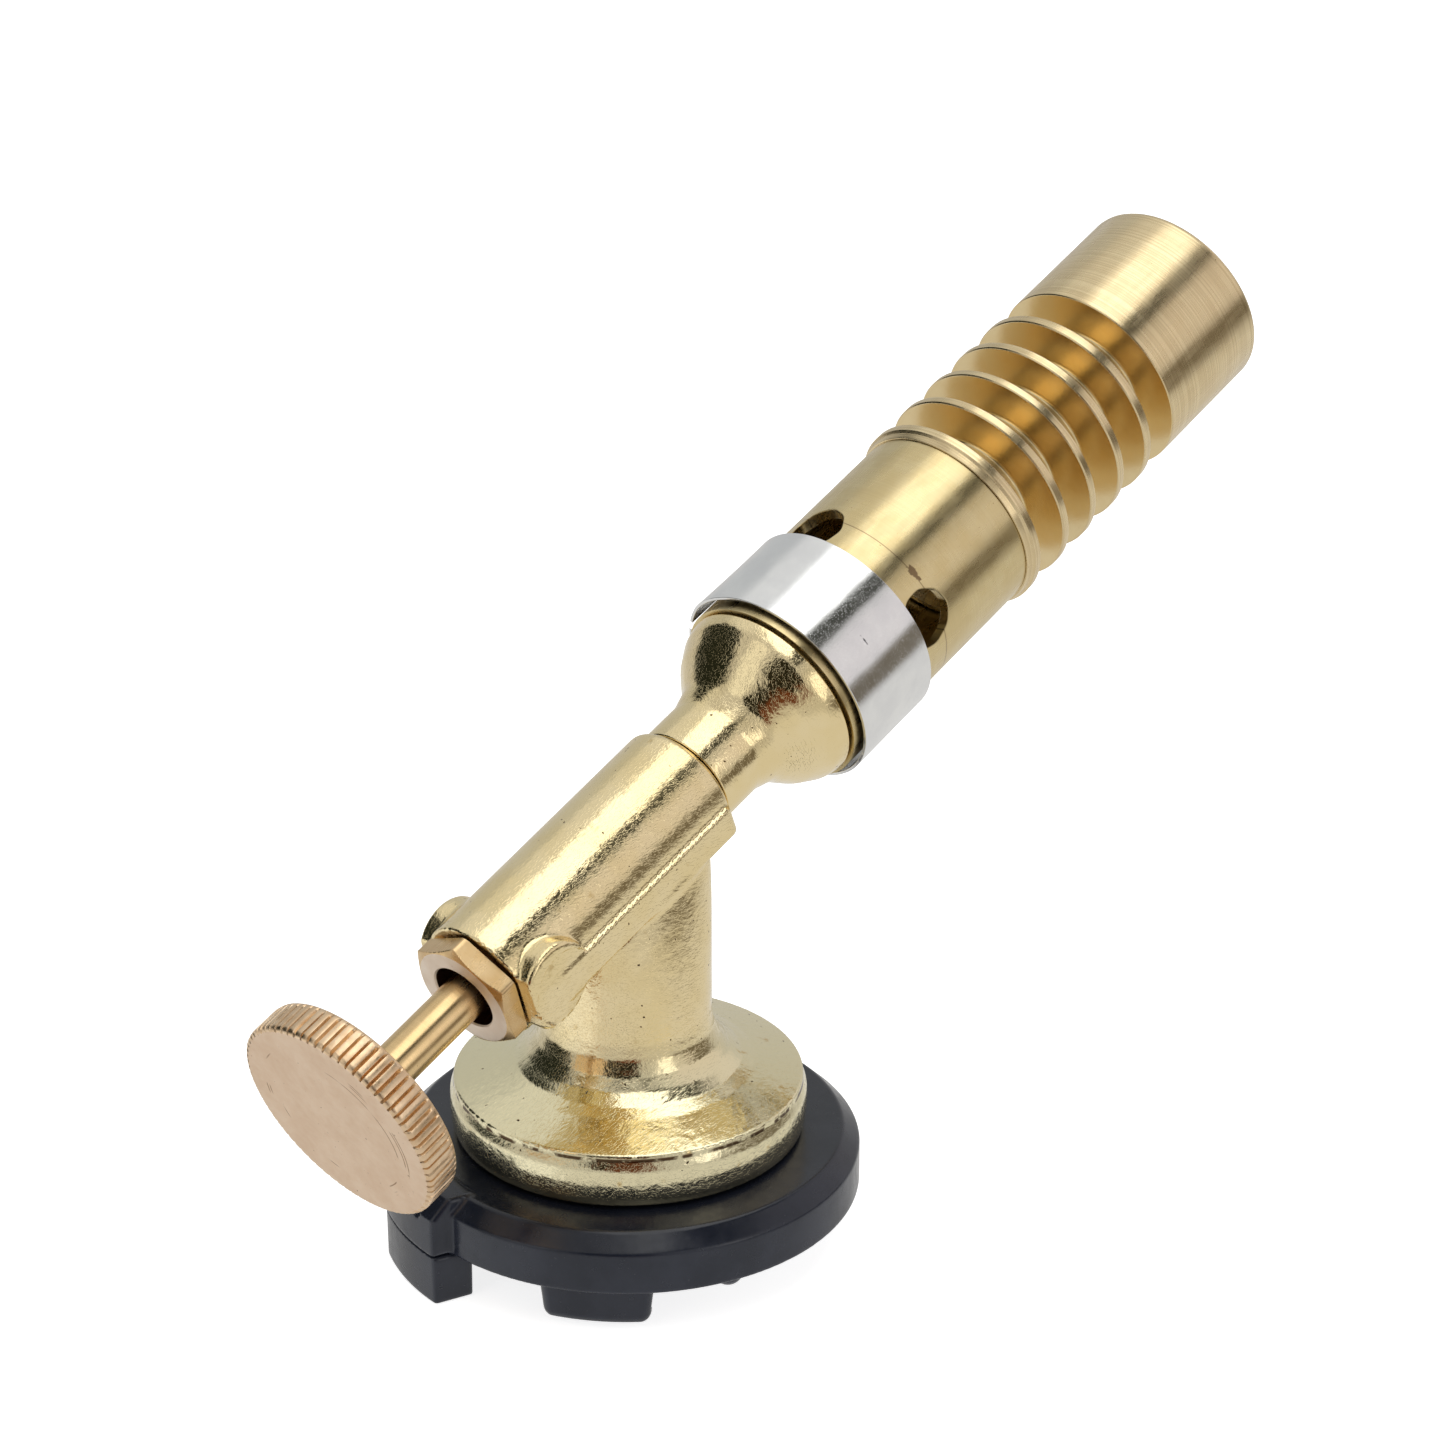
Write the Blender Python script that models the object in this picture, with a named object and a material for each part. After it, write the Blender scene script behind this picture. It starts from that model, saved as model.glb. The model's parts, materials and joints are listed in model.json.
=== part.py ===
"""Gas torch head for a clip-on butane cartridge, on an inclined burner tube.

The frame is right-handed with +Z up. The origin is on the stem's axis, in the plane where the cartridge
seats. The burner tube leans up towards +X. Sizes below are in millimetres and angles are in degrees.
Round parts are turned about a local Z axis. The parts of the burner tube share one local frame: its Z axis
runs along the tube towards the flame, its Y axis is the world's, and its X axis points down and away from
the stem.
"""

import math

import bmesh
import bpy
from mathutils import Matrix

MM = 0.001

# The burner tube crosses the stem's axis at this height, and rises towards the flame at this angle.
AXIS_HEIGHT = 39.15
TILT = 21.05

# Positions along the burner tube, counted from the stem's axis, and radii about it.
KNOB_FACE, KNOB_BACK, KNOB_RADIUS = -44.05, -39.97, 11.94
KNOB_TEETH, TOOTH_DEPTH = 76, 0.42
SPINDLE_RADIUS = 2.35
NUT_FACE, NUT_BACK, NUT_FLATS, NUT_HOLE = -25.26, -23.0, 11.4, 3.7
BARREL_START, BARREL_END, BARREL_RADIUS = -22.7, 8.95, 6.64
BODY_HALF_WIDTH = 7.0
EAR_CENTRE, EAR_DROP, EAR_RADIUS = -19.2, 0.5, 4.6
RAIL_TOP, RAIL_BOTTOM = 0.7, -3.7
NECK_RADIUS, BELL_RADIUS, BELL_END = 5.84, 10.45, 23.45
TUBE_START, TUBE_END, TUBE_RADIUS, TUBE_BORE = 23.75, 53.4, 10.8, 9.6
AIR_HOLE_PLACE, AIR_HOLE_RADIUS, AIR_HOLE_TURN = 38.0, 3.1, 77.0
BAND_START, BAND_LENGTH, BAND_RADIUS, BAND_WALL = 24.64, 11.17, 11.67, 0.5
NOZZLE_START, FIN_RADIUS, FIN_FLOOR = 53.7, 11.41, 6.5
FINS = ((54.32, 55.45), (59.5, 60.55), (64.55, 65.5), (69.57, 70.64), (74.52, 75.66))
HEAD_START, HEAD_END, HEAD_RADIUS, HEAD_BORE = 79.77, 96.06, 11.32, 9.5
HOLDER_START, HOLDER_END = 85.4, 88.0

# The upright stem, its flange and the base, as heights and radii about the world's Z axis.
STEM_RADIUS = 8.64
FLANGE_BOTTOM, FLANGE_RADIUS = 6.55, 18.47
DISC_TOP, DISC_WALL_TOP, DISC_RADIUS, DISC_TOP_RADIUS = 6.22, 4.51, 24.0, 22.24
PLATE_TOP, PLATE_RADIUS = 3.0, 22.35
LUG_ANGLE, LUG_HALF_WIDTH, LUG_RADIUS, LUG_BOTTOM = 160.2, 5.95, 26.0, -5.5
CLAW_ANGLES, CLAW_HALF_WIDTH, CLAW_BOTTOM = (-146.2, -26.2, 93.8), 5.6, -4.6
NUB_ANGLE = -108.3
SCREW_ANGLES, SCREW_CIRCLE = (-90.0, 30.0, 150.0), 12.6


def clear_scene():
    for obj in list(bpy.data.objects):
        bpy.data.objects.remove(obj, do_unlink=True)


def tube_frame():
    """The burner tube's local frame, in metres."""
    lean = Matrix.Rotation(math.radians(90.0 - TILT), 4, "Y")
    return Matrix.Translation((0.0, 0.0, AXIS_HEIGHT * MM)) @ lean


WORLD = Matrix.Identity(4)
TUBE = tube_frame()


def material(name, colour, metallic, roughness):
    made = bpy.data.materials.new(name)
    made.use_nodes = True
    shader = made.node_tree.nodes["Principled BSDF"]
    shader.inputs["Base Color"].default_value = (*colour, 1.0)
    shader.inputs["Metallic"].default_value = metallic
    shader.inputs["Roughness"].default_value = roughness
    return made


def add_mesh(name, points, faces, frame):
    """A closed mesh in the given frame, from points in millimetres, facing outwards."""
    mesh = bpy.data.meshes.new(name)
    mesh.from_pydata([(x * MM, y * MM, z * MM) for x, y, z in points], [], faces)
    shape = bmesh.new()
    shape.from_mesh(mesh)
    bmesh.ops.recalc_face_normals(shape, faces=shape.faces)
    shape.to_mesh(mesh)
    shape.free()
    mesh.shade_smooth()
    mesh.set_sharp_from_angle(angle=math.radians(32.0))
    obj = bpy.data.objects.new(name, mesh)
    obj.matrix_world = frame
    bpy.context.scene.collection.objects.link(obj)
    return obj


def loft(name, rings, frame):
    """A solid through rings with the same number of points, capped at both ends."""
    count = len(rings[0])
    points = [point for ring in rings for point in ring]
    faces = []
    for level in range(len(rings) - 1):
        low = level * count
        high = low + count
        for i in range(count):
            j = (i + 1) % count
            faces.append((low + i, low + j, high + j, high + i))
    faces.append(tuple(range(count)))
    faces.append(tuple(range((len(rings) - 1) * count, len(rings) * count)))
    return add_mesh(name, points, faces, frame)


def turn(name, loop, frame, segments=48):
    """A solid of revolution about local Z, from a closed loop of (height, radius)."""
    points = []
    rows = []
    for height, radius in loop:
        if radius == 0.0:
            rows.append([len(points)] * segments)
            points.append((0.0, 0.0, height))
            continue
        rows.append(list(range(len(points), len(points) + segments)))
        for i in range(segments):
            angle = 2.0 * math.pi * i / segments
            points.append((radius * math.cos(angle), radius * math.sin(angle), height))
    faces = []
    for row, following in zip(rows, rows[1:] + rows[:1]):
        for i in range(segments):
            j = (i + 1) % segments
            corners = (row[i], row[j], following[j], following[i])
            corners = tuple(dict.fromkeys(corners))
            if len(corners) > 2:
                faces.append(corners)
    return add_mesh(name, points, faces, frame)


def circle(radius, height, count, x=0.0, y=0.0, start=0.0):
    turns = [start + 2.0 * math.pi * i / count for i in range(count)]
    return [(x + radius * math.cos(a), y + radius * math.sin(a), height) for a in turns]


def parallel_sector(inner, outer, half_width, middle, height, steps=6):
    """A ring-shaped block's outline, with sides parallel to its middle direction."""
    outline = []
    for radius, way in ((outer, 1), (inner, -1)):
        reach = math.asin(half_width / radius)
        for i in range(steps + 1):
            angle = math.radians(middle) + way * reach * (2.0 * i / steps - 1.0)
            outline.append((radius * math.cos(angle), radius * math.sin(angle), height))
    return outline


def sector_block(name, levels, middle):
    """A block on the base's rim, from levels of (height, inner radius, outer radius, half width)."""
    rings = [parallel_sector(inner, outer, half, middle, z) for z, inner, outer, half in levels]
    return loft(name, rings, WORLD)


def combine(target, operation, tools):
    """One Boolean step with all its tools at once, kept in a helper collection that isn't rendered."""
    helpers = bpy.data.collections.new(f"{target.name}_{operation.lower()}")
    helpers.hide_render = True
    bpy.context.scene.collection.children.link(helpers)
    for tool in tools:
        bpy.context.scene.collection.objects.unlink(tool)
        helpers.objects.link(tool)
        tool.hide_render = True
        tool.display_type = "WIRE"
    step = target.modifiers.new(operation.title(), "BOOLEAN")
    step.operation = operation
    step.solver = "EXACT"
    step.operand_type = "COLLECTION"
    step.collection = helpers


def round_cutter(name, x, y, low, high, radius, frame=WORLD, segments=24):
    rings = [circle(radius, low, segments, x, y), circle(radius, high, segments, x, y)]
    return loft(name, rings, frame)


def finish(obj, colour, metallic, roughness):
    obj.data.materials.clear()
    obj.data.materials.append(material(obj.name, colour, metallic, roughness))


def screw_places():
    for angle in SCREW_ANGLES:
        turned = math.radians(angle)
        yield SCREW_CIRCLE * math.cos(turned), SCREW_CIRCLE * math.sin(turned)


def underside_of_rails(x):
    """Height of the rails' inclined underside above the seat plane, at this x."""
    lean = math.radians(TILT)
    return AXIS_HEIGHT + x * math.tan(lean) + RAIL_BOTTOM / math.cos(lean)


def stem_and_flange(count=44):
    """The turned foot and upright stem. The stem's top follows the inclined underside of the rails."""
    flat = [
        (FLANGE_BOTTOM, 16.7),
        (7.4, 17.65),
        (9.0, 18.3),
        (11.2, FLANGE_RADIUS),
        (12.35, 18.05),
        (13.05, 15.6),
        (13.7, 13.4),
        (14.6, 11.5),
        (16.2, 9.8),
        (18.2, 8.95),
        (20.4, STEM_RADIUS),
    ]
    rings = [circle(radius, height, count) for height, radius in flat]
    for drop, radius in ((2.3, STEM_RADIUS), (0.9, 8.2), (0.0, 7.2), (-1.2, 6.0)):
        ring = circle(radius, 0.0, count)
        rings.append([(x, y, underside_of_rails(x) - drop) for x, y, _ in ring])
    return loft("valve_body", rings, WORLD)


def barrel():
    return turn(
        "barrel",
        [
            (BARREL_START - 0.4, 0.0),
            (BARREL_START - 0.4, BARREL_RADIUS),
            (7.4, BARREL_RADIUS),
            (8.5, 6.4),
            (BARREL_END, 5.85),
            (BARREL_END, 0.0),
        ],
        TUBE,
        40,
    )


def rails():
    """The flat-sided block under the barrel, with a bevelled ledge along each side. Local X points down."""
    side = BODY_HALF_WIDTH
    outline = [(-RAIL_TOP, side - 0.2), (0.35, side), (-RAIL_BOTTOM, side)]
    outline += [(x, -y) for x, y in reversed(outline)]
    rings = []
    for place, lift in ((-17.0, 0.0), (7.6, 0.0), (8.5, 0.5), (8.85, 1.3)):
        rings.append([(min(x, -RAIL_BOTTOM - lift), y, place) for x, y in outline])
    return loft("rails", rings, TUBE)


def ears():
    """A round boss through the barrel, which makes the rimmed ear on each side."""
    centre = TUBE @ Matrix.Translation((EAR_DROP * MM, 0.0, EAR_CENTRE * MM))
    across = centre @ Matrix.Rotation(math.radians(-90.0), 4, "X")
    half = BODY_HALF_WIDTH + 0.1
    edge = EAR_RADIUS - 0.75
    levels = [(0.0, edge), (0.3, EAR_RADIUS - 0.25), (0.85, EAR_RADIUS)]
    loop = [(-half, 0.0)]
    loop += [(-half + depth, radius) for depth, radius in levels]
    loop += [(half - depth, radius) for depth, radius in reversed(levels)]
    loop += [(half, 0.0)]
    return turn("ears", loop, across, 32)


def valve_body():
    body = stem_and_flange()
    combine(body, "UNION", [barrel(), rails(), ears()])
    gas_way = turn(
        "gas_way",
        [
            (-26.0, 0.0),
            (-26.0, 8.5),
            (BARREL_START, 8.5),
            (BARREL_START, 5.0),
            (-17.9, 5.0),
            (-17.9, 2.75),
            (1.6, 2.75),
            (2.9, 0.95),
            (4.2, 0.95),
            (4.2, 4.6),
            (10.0, 4.6),
            (10.0, 0.0),
        ],
        TUBE,
        24,
    )
    riser = round_cutter("riser", 0.0, 0.0, 12.0, AXIS_HEIGHT, 1.5, segments=12)
    socket = round_cutter("inlet_socket", 0.0, 0.0, 5.0, 13.6, 4.7)
    holes = [
        round_cutter(f"flange_hole_{i}", x, y, 5.0, 11.5, 1.6, segments=12)
        for i, (x, y) in enumerate(screw_places(), 1)
    ]
    combine(body, "DIFFERENCE", [gas_way, riser, socket, *holes])
    finish(body, (0.80, 0.68, 0.36), 1.0, 0.25)


def mixer_bell():
    bell = turn(
        "mixer_bell",
        [
            (4.6, 2.6),
            (4.6, 4.3),
            (9.25, 4.3),
            (9.25, NECK_RADIUS),
            (15.0, NECK_RADIUS),
            (16.2, 6.2),
            (18.2, 7.6),
            (20.0, 8.95),
            (21.6, 9.9),
            (22.6, 10.28),
            (BELL_END, BELL_RADIUS),
            (BELL_END, 9.3),
            (27.0, 9.3),
            (27.0, 8.5),
            (23.0, 8.0),
            (18.5, 5.0),
            (14.5, 3.8),
            (14.5, 2.6),
        ],
        TUBE,
        44,
    )
    finish(bell, (0.80, 0.68, 0.36), 1.0, 0.2)


def gas_jet():
    jet = turn(
        "gas_jet",
        [
            (6.0, 1.2),
            (6.0, 2.3),
            (14.8, 2.3),
            (14.8, 3.1),
            (16.2, 3.1),
            (17.4, 1.4),
            (17.4, 0.3),
            (15.6, 0.3),
            (15.2, 1.2),
        ],
        TUBE,
        20,
    )
    finish(jet, (0.75, 0.58, 0.28), 1.0, 0.3)


def air_tube():
    tube = turn(
        "air_tube",
        [
            (TUBE_START, TUBE_BORE),
            (TUBE_START, TUBE_RADIUS),
            (TUBE_END, TUBE_RADIUS),
            (TUBE_END, TUBE_BORE),
        ],
        TUBE,
        48,
    )
    cutters = []
    for pair in (0, 1):
        # The local frame's angles run from its X axis, which points down, and the holes are counted from +Y.
        aim = math.radians(AIR_HOLE_TURN + 90.0 + 90.0 * pair)
        across = TUBE @ Matrix.Translation((0.0, 0.0, AIR_HOLE_PLACE * MM))
        across = across @ Matrix.Rotation(aim, 4, "Z") @ Matrix.Rotation(math.radians(90.0), 4, "Y")
        name = f"air_holes_{pair}"
        cutters.append(round_cutter(name, 0.0, 0.0, -13.0, 13.0, AIR_HOLE_RADIUS, across, 20))
    combine(tube, "DIFFERENCE", cutters)
    finish(tube, (0.78, 0.62, 0.32), 1.0, 0.3)


def burner_nozzle():
    """One turned piece: a spigot in the air tube, five thin cooling fins and the plain head."""
    loop = [(49.3, 8.7), (49.3, 9.3), (NOZZLE_START, 9.3), (NOZZLE_START, 10.75)]
    for start, end in FINS:
        if start > FINS[0][0]:
            loop.append((start, FIN_FLOOR))
        loop += [(start, FIN_RADIUS), (end, FIN_RADIUS), (end, FIN_FLOOR)]
    loop += [(HEAD_START, FIN_FLOOR), (HEAD_START, HEAD_RADIUS)]
    loop += [(HEAD_END - 0.75, HEAD_RADIUS), (HEAD_END - 0.22, HEAD_RADIUS - 0.25)]
    loop += [(HEAD_END, HEAD_RADIUS - 0.75), (HEAD_END, HEAD_BORE + 0.3)]
    loop += [(HEAD_END - 0.3, HEAD_BORE), (HOLDER_START - 0.3, HEAD_BORE)]
    loop += [(HOLDER_START - 0.3, HEAD_BORE - 1.2), (80.6, 5.0), (56.5, 5.0), (51.0, 8.0)]
    finish(turn("burner_nozzle", loop, TUBE, 40), (0.78, 0.60, 0.30), 1.0, 0.3)


def flame_holder():
    reach = HEAD_BORE - 0.3
    loop = [(HOLDER_START, 0.0), (HOLDER_START, reach), (HOLDER_END, reach), (HOLDER_END, 0.0)]
    holder = turn("flame_holder", loop, TUBE, 40)
    low = HOLDER_START - 1.0
    high = HOLDER_END + 1.0
    cutters = [round_cutter("centre_port", 0.0, 0.0, low, high, 1.8, TUBE, 16)]
    for i in range(10):
        angle = 2.0 * math.pi * i / 10
        x = 6.4 * math.cos(angle)
        y = 6.4 * math.sin(angle)
        cutters.append(round_cutter(f"port_{i}", x, y, low, high, 0.95, TUBE, 10))
    combine(holder, "DIFFERENCE", cutters)
    finish(holder, (0.62, 0.46, 0.24), 1.0, 0.4)


def air_band(steps=44):
    """A rolled sheet ring, left open by a narrow slit behind the tube."""
    slit = 1.2 / BAND_RADIUS
    start = math.radians(25.0 + 90.0) + slit / 2.0
    rings = []
    for i in range(steps + 1):
        angle = start + (2.0 * math.pi - slit) * i / steps
        ring = []
        for radius, place in (
            (BAND_RADIUS - BAND_WALL, BAND_START),
            (BAND_RADIUS, BAND_START),
            (BAND_RADIUS, BAND_START + BAND_LENGTH),
            (BAND_RADIUS - BAND_WALL, BAND_START + BAND_LENGTH),
        ):
            ring.append((radius * math.cos(angle), radius * math.sin(angle), place))
        rings.append(ring)
    finish(loft("air_band", rings, TUBE), (0.80, 0.80, 0.80), 1.0, 0.25)


def gland_nut():
    nut = turn(
        "gland_nut",
        [
            (NUT_FACE, NUT_HOLE),
            (NUT_FACE, 5.62),
            (NUT_FACE + 0.55, 6.75),
            (NUT_BACK, 6.75),
            (NUT_BACK, 4.7),
            (-20.0, 4.7),
            (-20.0, 2.65),
            (-22.4, 2.65),
            (-22.4, NUT_HOLE),
        ],
        TUBE,
        36,
    )
    corner = NUT_FLATS / 2.0 / math.cos(math.radians(30.0))
    turned = math.radians(35.5 + 90.0)
    rings = [circle(corner, height, 6, start=turned) for height in (-30.0, -15.0)]
    combine(nut, "INTERSECT", [loft("hexagon", rings, TUBE)])
    finish(nut, (0.80, 0.60, 0.38), 1.0, 0.35)


def gland_packing():
    ring = turn("gland_packing", [(-19.7, 2.65), (-19.7, 4.7), (-18.2, 4.7), (-18.2, 2.65)], TUBE, 24)
    finish(ring, (0.85, 0.85, 0.82), 0.0, 0.5)


def valve_spindle():
    spindle = turn(
        "valve_spindle",
        [
            (KNOB_FACE + 1.5, 0.0),
            (KNOB_FACE + 1.5, 1.8),
            (KNOB_BACK + 0.3, 1.8),
            (KNOB_BACK + 0.3, SPINDLE_RADIUS),
            (-12.8, SPINDLE_RADIUS),
            (-12.8, 1.7),
            (-11.2, 1.7),
            (-11.2, SPINDLE_RADIUS),
            (-2.6, SPINDLE_RADIUS),
            (-2.2, 1.6),
            (0.2, 1.6),
            (2.2, 0.5),
            (2.2, 0.0),
        ],
        TUBE,
        20,
    )
    finish(spindle, (0.72, 0.56, 0.30), 1.0, 0.3)


def spindle_o_ring(section=0.42, middle=2.24, place=-12.0, steps=8):
    loop = []
    for i in range(steps):
        angle = 2.0 * math.pi * i / steps
        loop.append((place + section * math.cos(angle), middle + section * math.sin(angle)))
    finish(turn("spindle_o_ring", loop, TUBE, 20), (0.02, 0.02, 0.02), 0.0, 0.6)


def knurled_ring(height, depth):
    """The knob's outline at this height. Each tooth has a flat crest and a narrow valley of this depth."""
    outline = []
    pitch = 2.0 * math.pi / KNOB_TEETH
    for tooth in range(KNOB_TEETH):
        for place, sink in ((0.10, 0.0), (0.68, 0.0), (0.89, depth)):
            angle = (tooth + place) * pitch
            radius = KNOB_RADIUS - sink
            outline.append((radius * math.cos(angle), radius * math.sin(angle), height))
    return outline


def control_knob():
    """A knurled disc on the spindle's end, with a plain lip at its front edge and a thin plain back edge."""
    inside = [
        (x * 0.975, y * 0.975, KNOB_FACE) for x, y, _ in knurled_ring(KNOB_FACE, TOOTH_DEPTH * 0.6)
    ]
    rings = [
        inside,
        knurled_ring(KNOB_FACE + 0.3, TOOTH_DEPTH),
        knurled_ring(KNOB_BACK - 0.35, TOOTH_DEPTH),
        [(x * 0.98, y * 0.98, KNOB_BACK) for x, y, _ in knurled_ring(KNOB_BACK, 0.0)],
    ]
    knob = loft("control_knob", rings, TUBE)
    bore = round_cutter("knob_bore", 0.0, 0.0, KNOB_FACE + 1.2, KNOB_BACK + 1.0, 2.1, TUBE, 32)
    combine(knob, "DIFFERENCE", [bore])
    finish(knob, (0.80, 0.58, 0.42), 1.0, 0.45)


def base_cover():
    cover = turn(
        "base_cover",
        [
            (0.0, 22.7),
            (0.0, DISC_RADIUS),
            (DISC_WALL_TOP, DISC_RADIUS),
            (DISC_TOP, DISC_TOP_RADIUS),
            (DISC_TOP, 5.0),
            (PLATE_TOP + 0.3, 5.0),
            (PLATE_TOP + 0.3, 22.7),
        ],
        WORLD,
        60,
    )
    upper_lug = sector_block(
        "upper_lug",
        [
            (0.12, 23.3, LUG_RADIUS, LUG_HALF_WIDTH),
            (4.37, 23.3, LUG_RADIUS, LUG_HALF_WIDTH),
            (6.42, 21.3, LUG_RADIUS - 1.9, LUG_HALF_WIDTH),
        ],
        LUG_ANGLE,
    )
    combine(cover, "UNION", [upper_lug])
    holes = [
        round_cutter(f"cover_hole_{i}", x, y, 2.0, 8.0, 1.7, segments=12)
        for i, (x, y) in enumerate(screw_places(), 1)
    ]
    combine(cover, "DIFFERENCE", holes)
    finish(cover, (0.03, 0.032, 0.038), 0.0, 0.4)


def claw_plate():
    """The plate under the cover, with the claws, the lug's lower half and a small rounded nub."""
    plate = turn(
        "claw_plate",
        [(0.0, 6.4), (0.0, PLATE_RADIUS), (PLATE_TOP, PLATE_RADIUS), (PLATE_TOP, 6.4)],
        WORLD,
        60,
    )
    half = CLAW_HALF_WIDTH
    claw_levels = [
        (1.0, 20.9, 22.2, half),
        (-3.0, 20.9, 22.2, half),
        (-3.3, 20.0, 22.2, half),
        (-4.2, 20.0, 22.15, half - 0.35),
        (CLAW_BOTTOM, 20.2, 21.9, half - 1.2),
    ]
    added = [sector_block(f"claw_{i}", claw_levels, angle) for i, angle in enumerate(CLAW_ANGLES, 1)]
    lug_levels = [
        (-0.2, 21.6, LUG_RADIUS - 0.1, LUG_HALF_WIDTH - 0.05),
        (LUG_BOTTOM + 0.4, 21.6, LUG_RADIUS - 0.15, LUG_HALF_WIDTH - 0.1),
        (LUG_BOTTOM, 21.7, LUG_RADIUS - 0.5, LUG_HALF_WIDTH - 0.4),
    ]
    added.append(sector_block("lower_lug", lug_levels, LUG_ANGLE))
    added.append(
        sector_block(
            "lug_root",
            [(-1.2, 21.75, 22.2, 4.6), (1.0, 21.75, 22.2, 4.6)],
            LUG_ANGLE,
        )
    )
    turned = math.radians(NUB_ANGLE)
    x = 20.6 * math.cos(turned)
    y = 20.6 * math.sin(turned)
    nub_levels = ((-2.3, 0.8), (-1.9, 1.4), (-1.2, 1.65), (1.0, 1.65))
    nub = [circle(radius, height, 16, x, y) for height, radius in nub_levels]
    added.append(loft("nub", nub, WORLD))
    combine(plate, "UNION", added)
    cutters = []
    for i, (x, y) in enumerate(screw_places(), 1):
        cutters.append(round_cutter(f"head_recess_{i}", x, y, -1.0, 1.9, 3.1, segments=16))
        cutters.append(round_cutter(f"plate_hole_{i}", x, y, 1.0, 4.0, 1.7, segments=12))
    combine(plate, "DIFFERENCE", cutters)
    finish(plate, (0.03, 0.032, 0.038), 0.0, 0.42)


def base_screws():
    head = [(0.9, 0.0), (0.3, 0.9), (0.3, 2.3), (0.7, 2.75), (1.6, 2.75)]
    shank = [(1.6, 1.3), (10.8, 1.3), (11.2, 0.8), (11.2, 0.0)]
    for i, (x, y) in enumerate(screw_places(), 1):
        place = Matrix.Translation((x * MM, y * MM, 0.0))
        screw = turn(f"base_screw_{i}", head + shank, place, 12)
        finish(screw, (0.6, 0.6, 0.6), 1.0, 0.35)


def inlet_parts():
    """The brass inlet that pushes the cartridge's valve open, with its seal and its filter."""
    fitting = turn(
        "inlet_fitting",
        [
            (-2.4, 0.7),
            (-2.4, 1.7),
            (-2.0, 2.1),
            (0.7, 2.1),
            (0.7, 5.7),
            (2.7, 5.7),
            (3.1, 4.4),
            (13.2, 4.4),
            (13.2, 3.5),
            (11.0, 3.5),
            (11.0, 0.7),
        ],
        WORLD,
        24,
    )
    finish(fitting, (0.75, 0.58, 0.28), 1.0, 0.3)
    seal = turn("inlet_seal", [(-0.8, 2.5), (-0.8, 4.6), (-0.4, 4.9), (0.4, 4.9), (0.4, 2.4)], WORLD, 24)
    finish(seal, (0.02, 0.02, 0.02), 0.0, 0.6)
    mesh = turn("inlet_filter", [(11.3, 0.0), (11.3, 3.2), (12.6, 3.2), (12.6, 0.0)], WORLD, 24)
    finish(mesh, (0.55, 0.45, 0.28), 1.0, 0.7)


def main():
    clear_scene()
    valve_body()
    mixer_bell()
    gas_jet()
    air_tube()
    burner_nozzle()
    flame_holder()
    air_band()
    gland_nut()
    gland_packing()
    valve_spindle()
    spindle_o_ring()
    control_knob()
    base_cover()
    claw_plate()
    base_screws()
    inlet_parts()


main()
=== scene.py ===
"""Looks of the gas torch head: fine meshes, finishes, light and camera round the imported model.

Lengths are in millimetres until a mesh is made. Turned pieces are drawn in the tube's own frame: local Z runs
along the burner tube towards the flame, local Y is the world's, and local X points down.
"""

import json
import math

import bmesh
import bpy
import numpy as np
from mathutils import Matrix, Vector


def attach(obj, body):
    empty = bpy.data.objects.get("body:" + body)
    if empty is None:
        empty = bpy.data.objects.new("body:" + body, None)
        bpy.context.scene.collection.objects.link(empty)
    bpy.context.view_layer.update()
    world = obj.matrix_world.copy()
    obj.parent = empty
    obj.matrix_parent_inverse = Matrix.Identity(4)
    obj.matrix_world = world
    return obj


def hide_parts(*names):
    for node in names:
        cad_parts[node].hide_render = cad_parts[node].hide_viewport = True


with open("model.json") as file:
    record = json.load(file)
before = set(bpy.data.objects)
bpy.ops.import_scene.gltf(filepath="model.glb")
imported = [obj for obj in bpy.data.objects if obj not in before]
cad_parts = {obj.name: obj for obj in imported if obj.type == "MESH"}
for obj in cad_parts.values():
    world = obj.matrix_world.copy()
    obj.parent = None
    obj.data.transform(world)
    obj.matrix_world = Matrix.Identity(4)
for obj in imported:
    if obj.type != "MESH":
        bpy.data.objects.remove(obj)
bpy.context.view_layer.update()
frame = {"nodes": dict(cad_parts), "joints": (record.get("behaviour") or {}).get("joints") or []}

MM = 0.001
RNG = np.random.default_rng(20)

# The camera looks at a point beside the stem, from this side and height.
CAMERA_AZIMUTH, CAMERA_ELEVATION = -48.16, 24.41
CAMERA_DISTANCE, CAMERA_LENS = 473.1, 112.78
CAMERA_TARGET = (21.01, 5.76, 42.94)
FLOOR_HEIGHT = -5.5

# Edges of the cast body, along and across the tube.
RAIL_SIDE, RAIL_TOP, RAIL_BEVEL, RAIL_BOTTOM, RAIL_END = 7.14, 0.75, -0.35, -3.7, 8.75
EAR_PLACE, EAR_DROP, EAR_RADIUS, EAR_SIDE = -19.2, 0.5, 4.6, 7.62
STEM_RADIUS, FLANGE_RADIUS, FLANGE_RIM = 8.64, 18.05, 12.4
AIR_HOLE_PLACE, AIR_HOLE_RADIUS, AIR_HOLE_TURN = 38.0, 3.1, 77.0
TUBE_END, TUBE_WALL = 53.5, 1.2
BAND_SLIT, BAND_SLIT_WIDTH, BAND_WALL = 25.0, 1.2, 0.36
LUG_ANGLE, LUG_HALF_WIDTH = 160.2, 5.95
CLAW_ANGLES, CLAW_HALF_WIDTH = (-146.2, -26.2, 93.8), 5.6
NUB_ANGLE = -108.3
SCREW_ANGLES, SCREW_CIRCLE = (-90.0, 30.0, 150.0), 12.6
NUT_FLATS, NUT_TURN = 11.4, 35.5
KNOB_TEETH, TOOTH_DEPTH = 76, 0.42

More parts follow.
